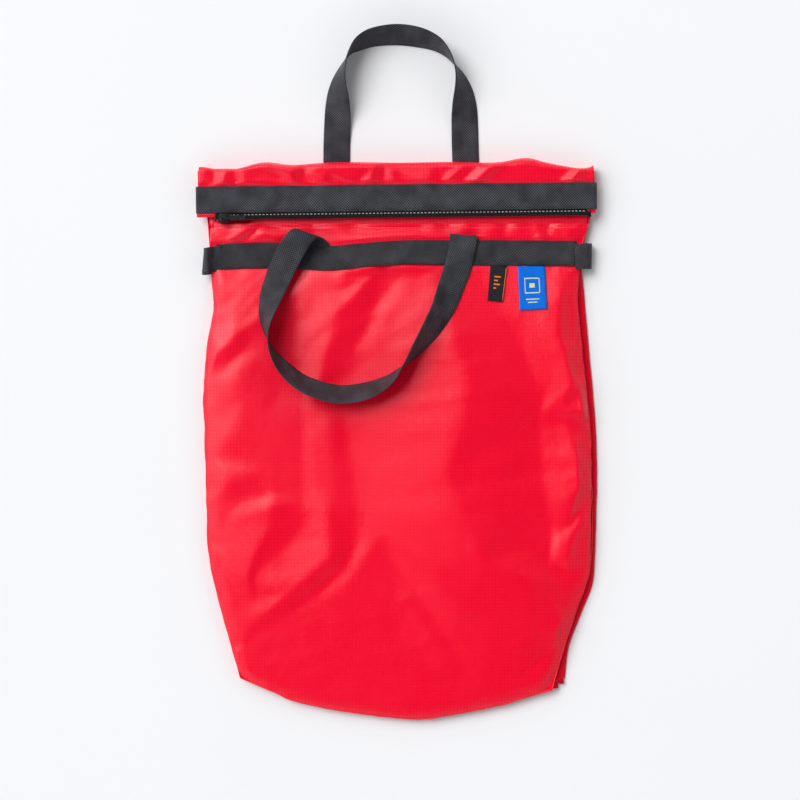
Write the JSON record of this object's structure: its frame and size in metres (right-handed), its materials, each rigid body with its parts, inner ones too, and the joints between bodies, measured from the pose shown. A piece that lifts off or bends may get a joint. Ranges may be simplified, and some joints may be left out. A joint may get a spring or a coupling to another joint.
{
  "type": "foldable tote bag",
  "caption": "Empty zipped tote bag of thin ripstop lying flat, its collar folded over the front, with webbing bands, hand loops, side loops and sewn labels.",
  "frame": {"origin": "middle of the bag's outline, rear hand loop included, on the surface that it lies on", "axes": "+X to the right across the front, +Y from the base to the top fold, +Z out of the front, up from the surface"},
  "size_m": [0.3933, 0.6811, 0.044],
  "materials": {
    "red_ripstop": "matte",
    "black_webbing": "satin",
    "binding_tape": "matte",
    "zip_tape": "matte",
    "zip_coil": "satin",
    "slider_metal": "gloss",
    "blue_label": "matte",
    "dark_tag": "matte"
  },
  "bodies": {
    "bag": {"back_panel": "red_ripstop", "front_yoke": "red_ripstop", "gusset_left": "red_ripstop", "gusset_right": "red_ripstop", "base_panel": "red_ripstop", "top_fold": "red_ripstop", "back_band": "black_webbing", "rear_handle_ends": "black_webbing", "seam_binding_left": "binding_tape", "seam_binding_right": "binding_tape"},
    "front": {"front_panel": "red_ripstop", "front_band": "black_webbing", "front_handle_ends": "black_webbing", "front_binding_left": "binding_tape", "front_binding_right": "binding_tape", "side_loop_left": "black_webbing", "side_loop_right": "black_webbing"},
    "front_loop": {"front_handle": "black_webbing"},
    "rear_loop": {"rear_handle": "black_webbing"},
    "blue_flap": {"blue_label": "blue_label"},
    "dark_flap": {"dark_tag": "dark_tag"},
    "collar": {"collar_back": "red_ripstop", "collar_front": "red_ripstop", "collar_end_left": "red_ripstop", "collar_end_right": "red_ripstop", "mouth_webbing": "black_webbing", "zip_tape_back": "zip_tape", "zip_tape_front": "zip_tape", "zip_coil_back": "zip_coil", "zip_coil_front": "zip_coil", "zip_top_stops": "zip_coil", "zip_bottom_stop": "zip_coil"},
    "slider": {"zip_slider": "slider_metal"},
    "pull": {"zip_pull": "slider_metal"}
  },
  "joints": [
    {"name": "front_lift", "type": "hinge", "parent": "bag", "child": "front", "pos_m": [0, 0.1375, 0.0077], "axis": [-1, 0, 0], "range_deg": [0, 8], "deforming": ["gusset_left", "gusset_right", "base_panel"]},
    {"name": "collar_fold", "type": "hinge", "parent": "bag", "child": "collar", "pos_m": [0, 0.20005, 0.0094], "axis": [-1, 0, 0], "range_deg": [0, 175], "deforming": ["top_fold"]},
    {"name": "zip_slide", "type": "slide", "parent": "collar", "child": "slider", "axis": [0.9999, 0.0115, 0], "range_m": [0, 0.345]},
    {"name": "pull_flip", "type": "hinge", "parent": "slider", "child": "pull", "pos_m": [-0.16794, 0.15193, 0.0177], "axis": [0.0115, -0.9999, 0], "range_deg": [0, 170]},
    {"name": "front_loop_swing", "type": "hinge", "parent": "front", "child": "front_loop", "pos_m": [0, 0.1335, 0.0105], "axis": [-1, 0, 0], "range_deg": [0, 140]},
    {"name": "rear_loop_lift", "type": "hinge", "parent": "bag", "child": "rear_loop", "pos_m": [0, 0.2085, 0.0007], "axis": [-1, 0, 0], "range_deg": [-90, 0]},
    {"name": "blue_label_flip", "type": "hinge", "parent": "front", "child": "blue_flap", "pos_m": [0.132, 0.101, 0.0098], "axis": [-1, 0, 0], "range_deg": [0, 120]},
    {"name": "dark_tag_flip", "type": "hinge", "parent": "front", "child": "dark_flap", "pos_m": [0.101, 0.101, 0.0098], "axis": [-1, 0, 0], "range_deg": [0, 120]}
  ]
}
